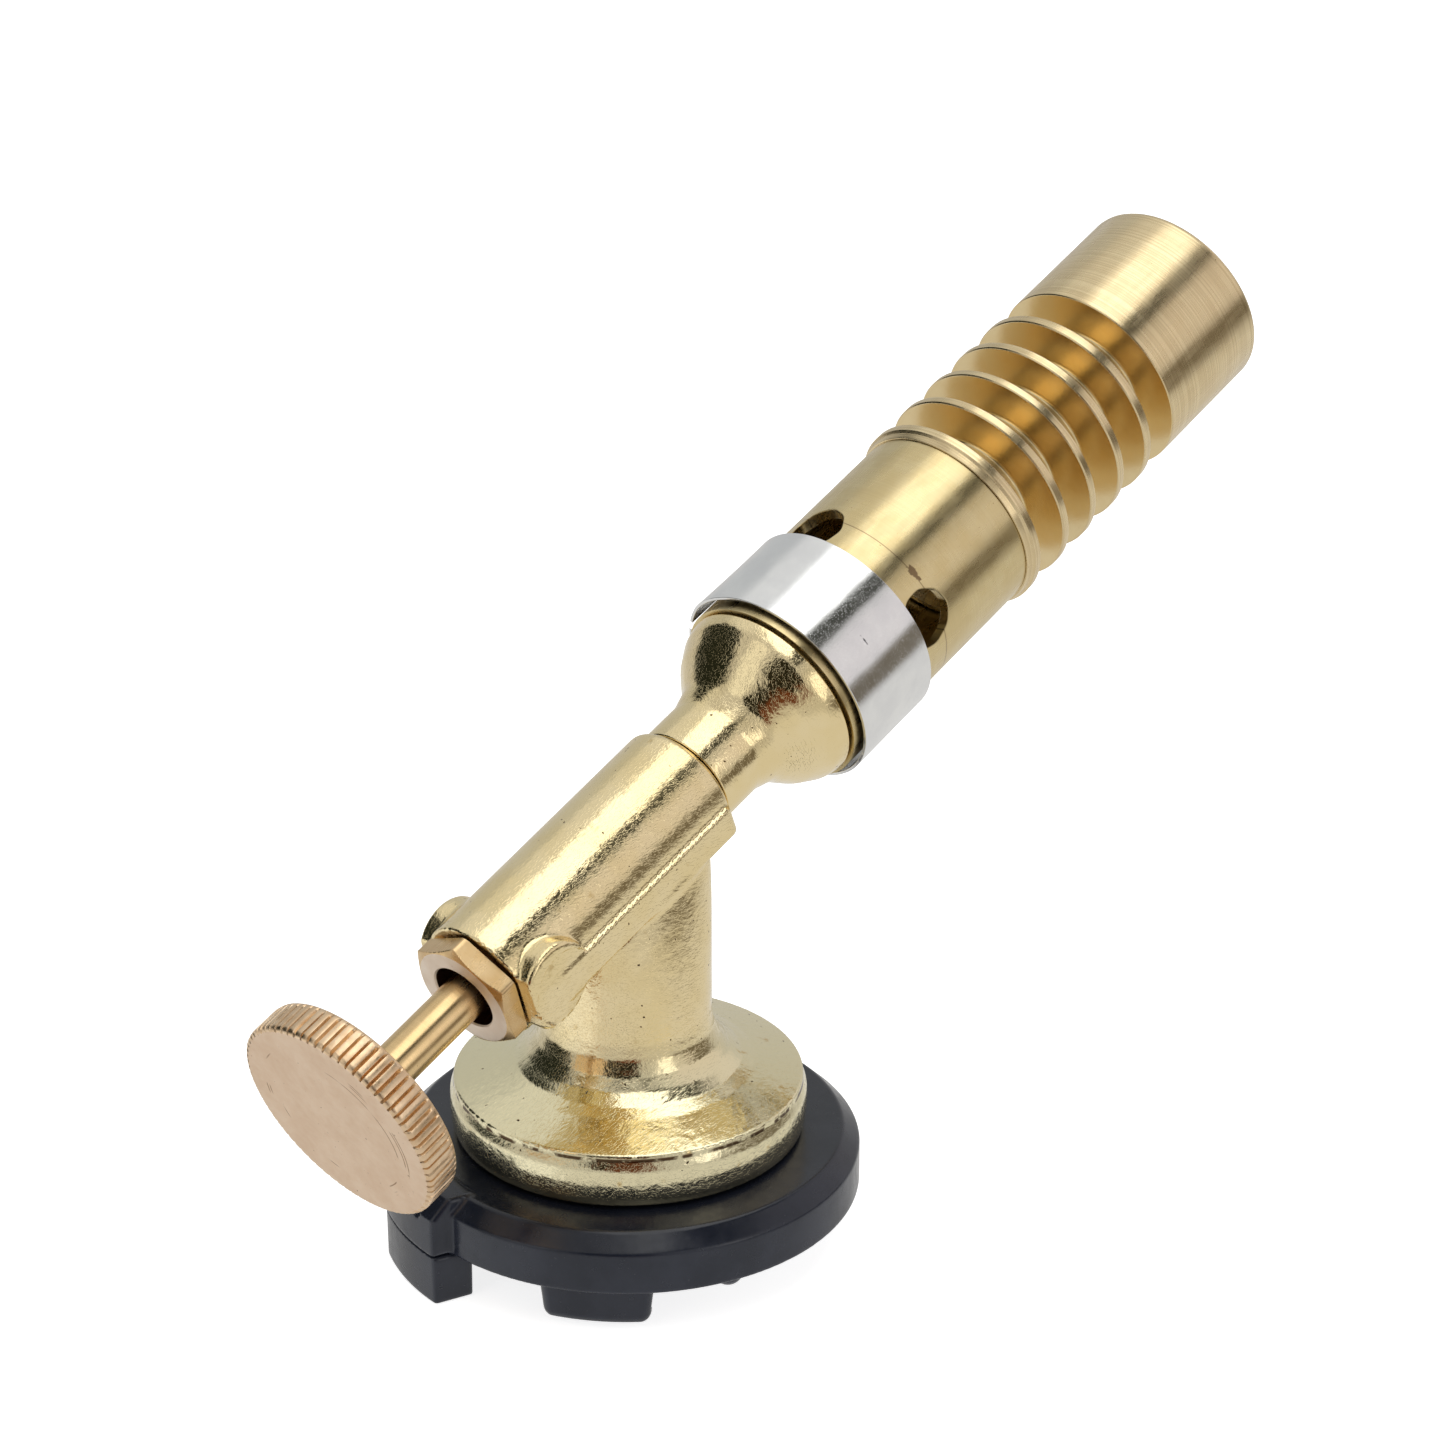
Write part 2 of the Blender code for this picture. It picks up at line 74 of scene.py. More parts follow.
# The studio that the metal reflects. Each soft oval patch lies over the ones before it: azimuth, elevation,
# half width and half height in degrees, softness of its edge, and colour.
WALL_COLOUR, TABLE_COLOUR = (0.60, 0.59, 0.58), (0.74, 0.73, 0.71)
PATCHES = (
    (55.0, 27.0, 42.0, 24.0, 0.15, (0.76, 0.72, 0.72)),
    (2.0, 16.0, 11.0, 17.0, 0.2, (1.45, 1.42, 1.40)),
    (150.0, 22.0, 26.0, 24.0, 0.25, (0.56, 0.57, 0.57)),
    (150.0, 60.0, 36.0, 22.0, 0.25, (0.78, 0.78, 0.77)),
    (40.0, 80.0, 32.0, 20.5, 0.18, (1.8, 1.8, 1.77)),
    (-96.0, 30.0, 12.0, 26.0, 0.2, (0.95, 0.94, 0.90)),
    (20.0, 56.0, 34.0, 8.5, 0.3, (0.07, 0.07, 0.06)),
    (44.0, -4.0, 34.0, 9.5, 0.35, (0.18, 0.155, 0.12)),
    (-125.0, -28.0, 30.0, 14.0, 0.3, (0.98, 0.99, 1.0)),
    (-152.0, 18.0, 31.0, 29.0, 0.10, (0.018, 0.021, 0.015)),
    (-55.0, 20.0, 21.0, 24.0, 0.12, (0.022, 0.020, 0.012)),
    (-46.0, 2.0, 16.0, 10.0, 0.4, (0.15, 0.05, 0.022)),
)

SHARP_ANGLE = math.radians(38.0)
WORLD = Matrix.Identity(4)


def tube_frame():
    """The tube's frame, from the knob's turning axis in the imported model, which points back at the knob."""
    turn = next(joint for joint in frame["joints"] if joint["name"] == "knob_turn")
    along = -Vector(turn["axis"]).normalized()
    side = Vector((0.0, 1.0, 0.0))
    down = side.cross(along)
    axes = Matrix((down, side, along)).transposed().to_4x4()
    return Matrix.Translation(turn["pos_m"]) @ axes


TUBE = tube_frame()
AXIS_HEIGHT = TUBE.translation.z / MM
TILT = math.atan2(TUBE[2][2], TUBE[0][2])


def span(node):
    """Where a CAD node starts and ends along the tube, and its largest radius about the tube's axis."""
    to_local = TUBE.inverted()
    local = [to_local @ v.co / MM for v in frame["nodes"][node].data.vertices]
    radius = max(math.hypot(p.x, p.y) for p in local)
    return min(p.z for p in local), max(p.z for p in local), radius


# Meshes


def add_piece(name, points, faces, place, node, finishes, body="torch_body", face_finish=None):
    """A shown piece in the given frame. It stands for a CAD node, which it hides, and rides on a body."""
    mesh = bpy.data.meshes.new(name)
    mesh.from_pydata((np.asarray(points, float) * MM).tolist(), [], [tuple(map(int, f)) for f in faces])
    mesh.validate()
    shape = bmesh.new()
    shape.from_mesh(mesh)
    bmesh.ops.recalc_face_normals(shape, faces=shape.faces)
    shape.to_mesh(mesh)
    shape.free()
    for finish in finishes:
        mesh.materials.append(finish)
    if face_finish is not None:
        mesh.polygons.foreach_set("material_index", np.asarray(face_finish, np.int32))
    mesh.shade_smooth()
    mesh.set_sharp_from_angle(angle=SHARP_ANGLE)
    piece = bpy.data.objects.new(name, mesh)
    piece.matrix_world = place
    bpy.context.scene.collection.objects.link(piece)
    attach(piece, body)
    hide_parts(node)
    return piece


def rounded(corners, radius=0.12, steps=4):
    """A closed outline of (place, radius[, corner radius]) with every corner turned into an arc."""
    count = len(corners)
    outline = []
    for i, corner in enumerate(corners):
        here = np.array(corner[:2], float)
        wanted = corner[2] if len(corner) > 2 else radius
        before = np.array(corners[i - 1][:2], float) - here
        after = np.array(corners[(i + 1) % count][:2], float) - here
        reach_before = np.linalg.norm(before)
        reach_after = np.linalg.norm(after)
        before /= reach_before
        after /= reach_after
        angle = math.acos(np.clip(before @ after, -1.0, 1.0))
        if wanted <= 0.0 or angle > math.radians(176.0) or here[1] < 1e-6:
            outline.append(here)
            continue
        cut = min(wanted / math.tan(angle / 2.0), 0.48 * reach_before, 0.48 * reach_after)
        true_radius = cut * math.tan(angle / 2.0)
        middle = before + after
        centre = here + middle / np.linalg.norm(middle) * true_radius / math.sin(angle / 2.0)
        first = here + before * cut - centre
        last = here + after * cut - centre
        turn = math.atan2(first[0] * last[1] - first[1] * last[0], first @ last)
        for k in range(steps + 1):
            a = turn * k / steps
            c, s = math.cos(a), math.sin(a)
            outline.append(centre + np.array([c * first[0] - s * first[1], s * first[0] + c * first[1]]))
    return outline


def skin(rows, closed=False):
    """Faces between rings of points, and the number of each face's ring. A one-point ring makes triangles."""
    faces, owners = [], []
    for k in range(len(rows) if closed else len(rows) - 1):
        row, following = rows[k], rows[(k + 1) % len(rows)]
        for i in range(len(row)):
            j = (i + 1) % len(row)
            corners = tuple(dict.fromkeys((row[i], row[j], following[j], following[i])))
            if len(corners) > 2:
                faces.append(corners)
                owners.append(k)
    return faces, owners


def turned(name, corners, place, node, finishes, body="torch_body", segments=192, radius=0.12, wobble=None,
           face_finish=None):
    """A turned piece from a closed outline of (place along the axis, radius)."""
    outline = rounded(corners, radius)
    angles = 2.0 * np.pi * np.arange(segments) / segments
    rows, points = [], []
    for along, reach in outline:
        if reach < 1e-6:
            rows.append([len(points)] * segments)
            points.append((0.0, 0.0, along))
            continue
        rows.append(range(len(points), len(points) + segments))
        reaches = np.full(segments, reach)
        if wobble is not None:
            reaches = reaches + wobble(along, reach, angles)
        points.extend(zip(reaches * np.cos(angles), reaches * np.sin(angles), np.full(segments, along)))
    faces, owners = skin(rows, closed=True)
    kinds = None
    if face_finish is not None:
        kinds = [face_finish(outline[k], outline[(k + 1) % len(outline)]) for k in owners]
    return add_piece(name, points, faces, place, node, finishes, body, kinds)


# Solids from distance fields, for the cast and moulded pieces whose edges melt into each other


def meet(a, b, radius=0.3):
    """Where both fields are inside, with the outer edge rounded."""
    p, q = a + radius, b + radius
    return np.minimum(np.maximum(p, q), 0.0) + np.hypot(np.maximum(p, 0.0), np.maximum(q, 0.0)) - radius


def join(a, b, radius=0.3):
    """Where either field is inside, with a fillet in the inner corner."""
    return -meet(-a, -b, radius)


def cut(a, b, radius=0.2):
    return meet(a, -b, radius)


def turned_field(corners, radius=0.3, step=0.1):
    """The distance to a turned solid, by place along its axis and radius, read from a fine table."""
    outline = np.array(rounded(corners, radius, 5))
    low = np.array([outline[:, 0].min() - 4.0, -0.5])
    high = outline.max(0) + 4.0
    across = [np.arange(low[i], high[i] + step, step) for i in (0, 1)]
    along, reach = np.meshgrid(*across, indexing="ij")
    points = np.stack([along, np.abs(reach)], -1).reshape(-1, 1, 2)
    start = outline[None]
    ahead = np.roll(outline, -1, 0)[None]
    edge = ahead - start
    share = np.clip(((points - start) * edge).sum(-1) / np.maximum((edge**2).sum(-1), 1e-12), 0.0, 1.0)
    distance = np.linalg.norm(points - start - share[..., None] * edge, axis=-1).min(1)
    upward = (start[..., 1] > points[..., 1]) != (ahead[..., 1] > points[..., 1])
    slope = edge[..., 0] / np.where(edge[..., 1] == 0.0, 1e-12, edge[..., 1])
    crossing = points[..., 0] < start[..., 0] + (points[..., 1] - start[..., 1]) * slope
    inside = (upward & crossing).sum(1) % 2 == 1
    table = np.where(inside, -distance, distance).reshape(along.shape)

    def read(place, reach):
        u = np.clip((place - low[0]) / step, 0.0, table.shape[0] - 1.001)
        v = np.clip((reach - low[1]) / step, 0.0, table.shape[1] - 1.001)
        i, j = u.astype(int), v.astype(int)
        u, v = u - i, v - j
        near = table[i, j] * (1 - v) + table[i, j + 1] * v
        far = table[i + 1, j] * (1 - v) + table[i + 1, j + 1] * v
        outside = np.maximum(low[0] - place, place - high[0]).clip(0.0) + (reach - high[1]).clip(0.0)
        return near * (1 - u) + far * u + outside

    return read


def field_mesh(field, low, high, step):
    """Points and quads of the surface where a field is zero, one point for each grid cell it crosses."""
    low = np.array(low, float)
    shape = np.ceil((np.array(high) - low) / step).astype(int) + 1
    blocks = -(-shape // 4) + 1
    coarse = np.stack(np.meshgrid(*(np.arange(n) * 4 * step for n in blocks), indexing="ij"), -1) + low
    rough = field(coarse.reshape(-1, 3)).reshape(blocks)
    nearest = np.ix_(*(np.round(np.arange(n) / 4).astype(int) for n in shape))
    values = rough[nearest].copy()
    close = np.argwhere(np.abs(values) < 4.5 * step)
    values[tuple(close.T)] = field(close * step + low)
    sums, counts, quads = [], [], []
    for axis in range(3):
        lower = tuple(slice(0, -1) if a == axis else slice(None) for a in range(3))
        upper = tuple(slice(1, None) if a == axis else slice(None) for a in range(3))
        first, second = values[lower], values[upper]
        crossed = (first < 0) != (second < 0)
        where = np.argwhere(crossed)
        a, b = first[crossed], second[crossed]
        at = where.astype(float)
        at[:, axis] += a / (a - b)
        ring = []
        for across, over in ((-1, -1), (0, -1), (0, 0), (-1, 0)):
            cell = where.copy()
            cell[:, (axis + 1) % 3] += across
            cell[:, (axis + 2) % 3] += over
            ring.append(np.ravel_multi_index(cell.T, shape))
            sums.append(at)
            counts.append(ring[-1])
        ring = np.stack(ring, 1)
        ring[a > 0] = ring[a > 0][:, ::-1]
        quads.append(ring)
    cells, index = np.unique(np.concatenate(counts), return_inverse=True)
    sums = np.concatenate(sums)
    share = np.bincount(index)
    points = np.stack([np.bincount(index, sums[:, i]) / share for i in range(3)], 1) * step + low
    for _ in range(3):
        slope = np.stack([field(points + e) - field(points - e) for e in np.eye(3) * 0.02], 1) / 0.04
        pull = field(points) / np.maximum((slope**2).sum(1), 0.25)
        points -= np.clip(pull, -0.5 * step, 0.5 * step)[:, None] * slope
    return points, np.searchsorted(cells, np.concatenate(quads))


def to_tube(points):
    """Place along the tube, sideways, and height above its axis, of points in the world."""
    x, y, z = points.T
    z = z - AXIS_HEIGHT
    along = x * math.cos(TILT) + z * math.sin(TILT)
    above = z * math.cos(TILT) - x * math.sin(TILT)
    return along, y, above


def turned_about(points, angle):
    """Outwards and sideways coordinates on the base, seen from this direction."""
    turn = math.radians(angle)
    x, y, _ = points.T
    return x * math.cos(turn) + y * math.sin(turn), y * math.cos(turn) - x * math.sin(turn)


def screw_places():
    for angle in SCREW_ANGLES:
        turn = math.radians(angle)
        yield SCREW_CIRCLE * math.cos(turn), SCREW_CIRCLE * math.sin(turn)


def body_field():
    barrel_start = -22.7
    barrel = turned_field([
        (barrel_start, 0.0), (barrel_start, 6.64, 0.2), (8.95, 6.64, 0.9), (8.95, 0.0),
    ])
    stem = turned_field([
        (FLANGE_RIM, 0.0), (6.55, 0.0), (6.55, 18.0, 0.45), (7.6, 18.35, 2.0), (9.4, 18.48, 3.0),
        (10.8, 18.46, 1.6), (11.9, 18.08, 0.2), (FLANGE_RIM, FLANGE_RADIUS + 0.05, 0.22),
        (15.05, STEM_RADIUS, 8.6), (46.0, STEM_RADIUS), (46.0, 0.0),
    ])
    bores = [
        turned_field([(-26.0, 0.0), (-26.0, 5.0), (-17.9, 5.0), (-17.9, 2.75), (1.6, 2.75), (2.9, 0.95),
                      (4.2, 0.95), (4.2, 4.6), (10.0, 4.6), (10.0, 0.0)], 0.1),
        turned_field([(4.0, 0.0), (4.0, 4.7), (13.6, 4.7), (13.6, 1.5), (38.0, 1.5), (38.0, 0.0)], 0.1),
    ]
    holes = turned_field([(4.0, 0.0), (4.0, 1.6), (11.5, 1.6), (11.5, 0.0)], 0.1)

    def field(points):
        along, side, above = to_tube(points)
        side = np.abs(side)
        reach = np.hypot(side, above)
        upright = np.hypot(points[:, 0], points[:, 1])
        bevel = 0.45 * (side - RAIL_SIDE) + 0.893 * (above - RAIL_BEVEL)
        rails = meet(np.maximum(side - RAIL_SIDE, bevel), above - RAIL_TOP, 0.1)
        rails = meet(rails, RAIL_BOTTOM - above, 0.35)
        rails = meet(rails, np.maximum(along - RAIL_END, -19.0 - along), 1.1)
        boss = np.hypot(along - EAR_PLACE, above + EAR_DROP) - EAR_RADIUS
        ear = meet(boss, side - EAR_SIDE, 0.55)
        hollow = np.hypot(along - EAR_PLACE - 0.75, above + EAR_DROP + 0.95) - (EAR_RADIUS - 0.55)
        ear = cut(ear, meet(hollow, 7.05 - side, 0.05), 0.12)
        ear = meet(ear, barrel_start - along, 0.2)
        # The stem narrows towards the rails' lower edges.
        shoulder = 0.96 * (side - RAIL_SIDE) + 0.28 * (above - RAIL_BOTTOM + 0.1)
        shoulder = np.maximum(shoulder, above - RAIL_BOTTOM - 0.3)
        foot = meet(stem(points[:, 2], upright), np.where(points[:, 2] > 22.0, shoulder, -6.0), 2.4)
        solid = join(barrel(along, reach), rails, 0.06)
        solid = join(solid, ear, 0.3)
        solid = join(solid, foot, 0.75)
        solid = cut(solid, bores[0](along, reach), 0.15)
        solid = cut(solid, bores[1](points[:, 2], upright), 0.15)
        for x, y in screw_places():
            solid = cut(solid, holes(points[:, 2], np.hypot(points[:, 0] - x, points[:, 1] - y)), 0.1)
        return solid

    return field


def cover_field():
    disc = turned_field([
        (0.0, 22.7, 0.1), (0.0, 24.0, 0.25), (4.51, 24.0, 0.45), (6.22, 22.24, 0.4), (6.22, 5.0, 0.2),
        (3.3, 5.0, 0.1), (3.3, 22.7, 0.1),
    ])
    block = turned_field([
        (0.1, 22.8, 0.15), (0.1, 26.0, 0.2), (4.37, 26.0, 0.3), (6.42, 24.1, 0.35), (6.42, 21.2, 0.3),
        (3.4, 21.2, 0.2), (3.4, 22.8, 0.2),
    ])
    hole = turned_field([(2.0, 0.0), (2.0, 1.7), (8.0, 1.7), (8.0, 0.0)], 0.1)

    def field(points):
        height = points[:, 2]
        upright = np.hypot(points[:, 0], points[:, 1])
        out, side = turned_about(points, LUG_ANGLE)
        # The lug's top edge has a small notch.
        lug = meet(block(height, upright), np.abs(side) - LUG_HALF_WIDTH, 0.55)
        lug = np.maximum(lug, 20.0 - out)
        notch = np.hypot(np.hypot(side - 3.1, out - 26.1), (height - 4.5) * 0.8) - 0.75
        lug = cut(lug, notch, 0.15)
        solid = join(disc(height, upright), lug, 0.4)
        for x, y in screw_places():
            solid = cut(solid, hole(height, np.hypot(points[:, 0] - x, points[:, 1] - y)), 0.1)
        return solid

    return field


def plate_field():
    disc = turned_field([(0.0, 6.4), (0.0, 22.35), (3.0, 22.35), (3.0, 6.4)], 0.2)
    claw = turned_field([
        (1.0, 20.9, 0.1), (-3.0, 20.9, 0.2), (-3.2, 20.0, 0.2), (-4.6, 20.1, 0.3), (-4.6, 21.9, 0.5),
        (-3.9, 22.2, 0.3), (1.0, 22.2, 0.1),
    ])
    block = turned_field([(0.0, 21.6, 0.1), (-5.5, 21.65, 0.3), (-5.5, 25.85, 0.35), (0.0, 25.9, 0.12)])
    root = turned_field([(-1.2, 21.2), (1.0, 21.2), (1.0, 22.25), (-1.2, 22.25)], 0.1)
    recess = turned_field([(-2.0, 0.0), (-2.0, 3.1), (1.9, 3.1), (1.9, 1.7), (4.0, 1.7), (4.0, 0.0)], 0.15)
    turn = math.radians(NUB_ANGLE)
    nub_middle = np.array([20.6 * math.cos(turn), 20.6 * math.sin(turn), -0.65])

    def field(points):
        height = points[:, 2]
        upright = np.hypot(points[:, 0], points[:, 1])
        solid = disc(height, upright)
        for angle in CLAW_ANGLES:
            out, side = turned_about(points, angle)
            shape = meet(claw(height, upright), np.abs(side) - CLAW_HALF_WIDTH - 0.12 * (height + 3.0), 0.9)
            solid = join(solid, np.maximum(shape, 10.0 - out), 0.15)
        out, side = turned_about(points, LUG_ANGLE)
        lug = meet(block(height, upright), np.abs(side) - LUG_HALF_WIDTH + 0.05, 0.5)
        lug = join(lug, meet(root(height, upright), np.abs(side) - 4.6, 0.1), 0.15)
        solid = join(solid, np.maximum(lug, 10.0 - out), 0.15)
        nub = np.linalg.norm(points - nub_middle, axis=1) - 1.65
        solid = join(solid, np.maximum(nub, height - 1.0), 0.15)
        for x, y in screw_places():
            solid = cut(solid, recess(height, np.hypot(points[:, 0] - x, points[:, 1] - y)), 0.12)
        return solid

    return field


# Finishes


def link_node(tree, kind, inputs=None, **settings):
    made = tree.nodes.new(kind)
    for name, value in settings.items():
        setattr(made, name, value)
    for name, value in (inputs or {}).items():
        socket = made.inputs[name]
        if isinstance(value, bpy.types.NodeSocket):
            tree.links.new(value, socket)
        else:
            socket.default_value = value
    return made


def smooth_step(tree, source, low, high, low_value=0.0, high_value=1.0):
    made = link_node(
        tree, "ShaderNodeMapRange",
        {"Value": source, "From Min": low, "From Max": high, "To Min": low_value, "To Max": high_value},
        interpolation_type="SMOOTHSTEP",
    )
    return made.outputs[0]


def mix_colours(tree, share, first, second):
    """Two colours, or sockets that carry one, mixed by this share of the second."""
    made = link_node(tree, "ShaderNodeMix", {"Factor": share}, data_type="RGBA")
    for socket, colour in ((made.inputs[6], first), (made.inputs[7], second)):
        if isinstance(colour, bpy.types.NodeSocket):
            tree.links.new(colour, socket)
        else:
            socket.default_value = (*colour, 1.0)
    return made.outputs[2]


def vector_math(tree, operation, a, b=(0.0, 0.0, 0.0)):
    made = link_node(tree, "ShaderNodeVectorMath", {0: a, 1: b}, operation=operation)
    return made.outputs["Value" if operation in ("LENGTH", "DOT_PRODUCT") else "Vector"]


class Finish:
    """A material under construction, with short ways to add the patterns that the finishes share."""

    def __init__(self, name, **values):
        self.material = bpy.data.materials.new(name)
        self.material.use_nodes = True
        self.tree = self.material.node_tree
        self.shader = self.tree.nodes["Principled BSDF"]
        self.place = link_node(self.tree, "ShaderNodeTexCoord").outputs["Object"]
        self.relief = None
        for socket, value in values.items():
            self.shader.inputs[socket.replace("_", " ")].default_value = value

    def noise(self, size, detail=3.0, stretch=(1.0, 1.0, 1.0), turn=(0.0, 0.0, 0.0), distortion=0.0):
        """Noise with features of about this size in millimetres, stretched along an axis by this much."""
        scale = [1.0 / (size * MM * s) for s in stretch]
        mapped = link_node(
            self.tree, "ShaderNodeMapping",
            {"Vector": self.place, "Rotation": [math.radians(a) for a in turn], "Scale": scale},
        )
        made = link_node(
            self.tree, "ShaderNodeTexNoise",
            {"Vector": mapped.outputs[0], "Scale": 1.0, "Detail": detail, "Roughness": 0.55,
             "Distortion": distortion},
        )
        return made.outputs["Fac"]

    def ramp(self, source, low, high, low_value=0.0, high_value=1.0):
        return smooth_step(self.tree, source, low, high, low_value, high_value)

    def math(self, operation, a, b):
        return link_node(self.tree, "ShaderNodeMath", {0: a, 1: b}, operation=operation).outputs[0]

    def mix(self, share, first, second):
        return mix_colours(self.tree, share, first, second)

    def near(self, source, value, far, close):
        """One where a length in metres is near this value, fading to zero further away."""
        away = self.math("ABSOLUTE", self.math("SUBTRACT", source, value), 0.0)
        return self.ramp(away, far, close)

    def along(self):
        """Place along the piece's own Z axis, in metres."""
        return link_node(self.tree, "ShaderNodeSeparateXYZ", {0: self.place}).outputs["Z"]

    def spot(self, centre, size):
        """One where the surface is within this half size of a place, both in millimetres, and zero beyond."""
        moved = vector_math(self.tree, "SUBTRACT", self.place, [c * MM for c in centre])
        scaled = vector_math(self.tree, "DIVIDE", moved, [c * MM for c in size])
        reach = vector_math(self.tree, "LENGTH", scaled)
        torn = self.ramp(self.noise(0.5, 3.0), 0.3, 0.7, -0.35, 0.35)
        return self.ramp(self.math("ADD", reach, torn), 1.1, 0.8)

    def brushed_round(self):
        """Lays the streaks of an anisotropic finish round the piece's own Z axis."""
        tangent = link_node(self.tree, "ShaderNodeTangent", direction_type="RADIAL", axis="Z")
        self.tree.links.new(tangent.outputs[0], self.shader.inputs["Tangent"])

    def colour(self, source):
        self.tree.links.new(source, self.shader.inputs["Base Color"])

    def rough(self, source):
        self.tree.links.new(source, self.shader.inputs["Roughness"])

    def bump(self, height, depth):
        """Adds relief of this depth in millimetres over any relief that is there already."""
        inputs = {"Height": height, "Distance": depth * MM, "Strength": 1.0}
        if self.relief is not None:
            inputs["Normal"] = self.relief
        self.relief = link_node(self.tree, "ShaderNodeBump", inputs).outputs[0]
        self.tree.links.new(self.relief, self.shader.inputs["Normal"])


def scratches(finish, size, length, amount):
    """Thin lines in a few directions, bright where a line runs."""
    total = None
    for turn in ((0, 0, 20), (50, 0, 75), (0, 60, 130)):
        lines = finish.noise(size, 1.0, (length, 1.0, 1.0), turn)
        lines = finish.ramp(lines, amount, amount + 0.06)
        total = lines if total is None else finish.math("MAXIMUM", total, lines)
    return total


def plating(name, rough_low, rough_high, dents, hairs, has_flange=False):
    """Pale gold plating over a rough casting: softly dented, with hairy reflections and a few dark pits."""
    finish = Finish(name, Metallic=1.0, Roughness=0.2)
    tone = finish.ramp(finish.noise(6.0, 3.0), 0.36, 0.64)
    base = finish.mix(tone, (0.86, 0.70, 0.385), (0.89, 0.74, 0.44))
    if has_flange:
        height = finish.along()
        # Low down, on the flange, the plating is paler.
        base = finish.mix(finish.ramp(height, 0.021, 0.014), base, (0.84, 0.76, 0.50))
    stain = finish.ramp(finish.noise(3.0, 4.0, turn=(20, 40, 0)), 0.66, 0.76)
    base = finish.mix(stain, base, (0.66, 0.50, 0.24))
    if has_flange:
        # A dark line of painted shade sits in the crease under the ridge round the flange, broken up by
        # noise.
        above, below = finish.ramp(height, 0.01165, 0.0118), finish.ramp(height, 0.0122, 0.0120)
        broken_up = finish.ramp(finish.noise(2.2, 4.0), 0.40, 0.52)
        crease_shade = finish.math("MULTIPLY", finish.math("MULTIPLY", above, below), broken_up)
        base = finish.mix(crease_shade, base, (0.10, 0.06, 0.03))
    pits = finish.ramp(finish.noise(0.6, 1.0, turn=(10, 0, 60)), 0.755, 0.79)
    finish.colour(finish.mix(pits, base, (0.10, 0.06, 0.03)))
    finish.rough(finish.ramp(finish.noise(1.6, 4.0), 0.3, 0.7, rough_low, rough_high))
    finish.bump(finish.noise(3.2, 2.0), dents)
    finish.bump(finish.noise(1.2, 2.0, distortion=0.5), hairs)
    finish.bump(finish.noise(0.42, 3.0, (2.5, 1.0, 1.0), (30.0, 20.0, 50.0)), 0.42 * hairs)
    finish.bump(scratches(finish, 0.26, 4.0, 0.57), 0.006)
    finish.bump(finish.math("MULTIPLY", pits, -1.0), 0.05)
    return finish.material


def turned_brass(name, base, dark, low, high, lines=0.004, pitch=0.2, anisotropy=0.55, ring_shade=0.10):
    """Satin brass off the lathe: fine rings round the axis and soft streaks."""
    finish = Finish(name, Metallic=1.0, Roughness=0.3, Anisotropic=anisotropy, Anisotropic_Rotation=0.25)
    finish.brushed_round()
    tone = finish.ramp(finish.noise(3.0, 4.0), 0.35, 0.68)
    speck = finish.ramp(finish.noise(0.35, 2.0), 0.74, 0.8)
    rings = finish.noise(pitch, 2.0, (400.0, 400.0, 1.0))
    ring = finish.ramp(rings, 0.40, 0.60, 0.0, ring_shade)
    brass = finish.mix(ring, finish.mix(tone, base, dark), (0.42, 0.30, 0.14))
    finish.colour(finish.mix(speck, brass, (0.30, 0.19, 0.08)))
    finish.rough(finish.ramp(finish.noise(1.2, 5.0, (1.0, 1.0, 4.0)), 0.3, 0.7, low, high))
    finish.bump(rings, lines)
    finish.bump(finish.noise(0.3, 3.0), 0.004)
    return finish


def tube_brass():
    """The air tube's brass, with a scribed line round it at the air holes and a small stain beside one."""
    finish = turned_brass("tube_brass", (0.74, 0.61, 0.34), (0.70, 0.56, 0.29), 0.24, 0.34, pitch=0.16)
    brass = finish.shader.inputs["Base Color"].links[0].from_socket
    scribed = finish.near(finish.along(), (AIR_HOLE_PLACE + 1.55) * MM, 0.00010, 0.00004)
    line = finish.math("MULTIPLY", scribed, 0.7)
    stain = finish.math("MAXIMUM", line, finish.spot((-6.65, -8.51, 39.7), (1.0, 0.8, 0.45)))
    finish.colour(finish.mix(stain, brass, (0.25, 0.17, 0.09)))
    return finish.material


def nozzle_brass():
    return turned_brass(
        "nozzle_brass", (0.84, 0.69, 0.42), (0.80, 0.64, 0.38), 0.22, 0.32, 0.012, 0.24, ring_shade=0.32
    ).material


def groove_brass():
    """Smoother brass, down in the grooves between the fins."""
    return turned_brass(
        "groove_brass", (0.82, 0.665, 0.385), (0.80, 0.635, 0.355), 0.23, 0.27, anisotropy=0.5
    ).material


def spindle_brass():
    return turned_brass("spindle_brass", (0.84, 0.61, 0.32), (0.76, 0.54, 0.27), 0.22, 0.32).material


def nut_face():
    return turned_brass(
        "nut_face", (0.97, 0.86, 0.74), (0.92, 0.79, 0.66), 0.50, 0.60, 0.003, anisotropy=0.2
    ).material


def nut_brass():
    return turned_brass(
        "nut_brass", (0.76, 0.55, 0.30), (0.68, 0.46, 0.22), 0.24, 0.36, anisotropy=0.2
    ).material


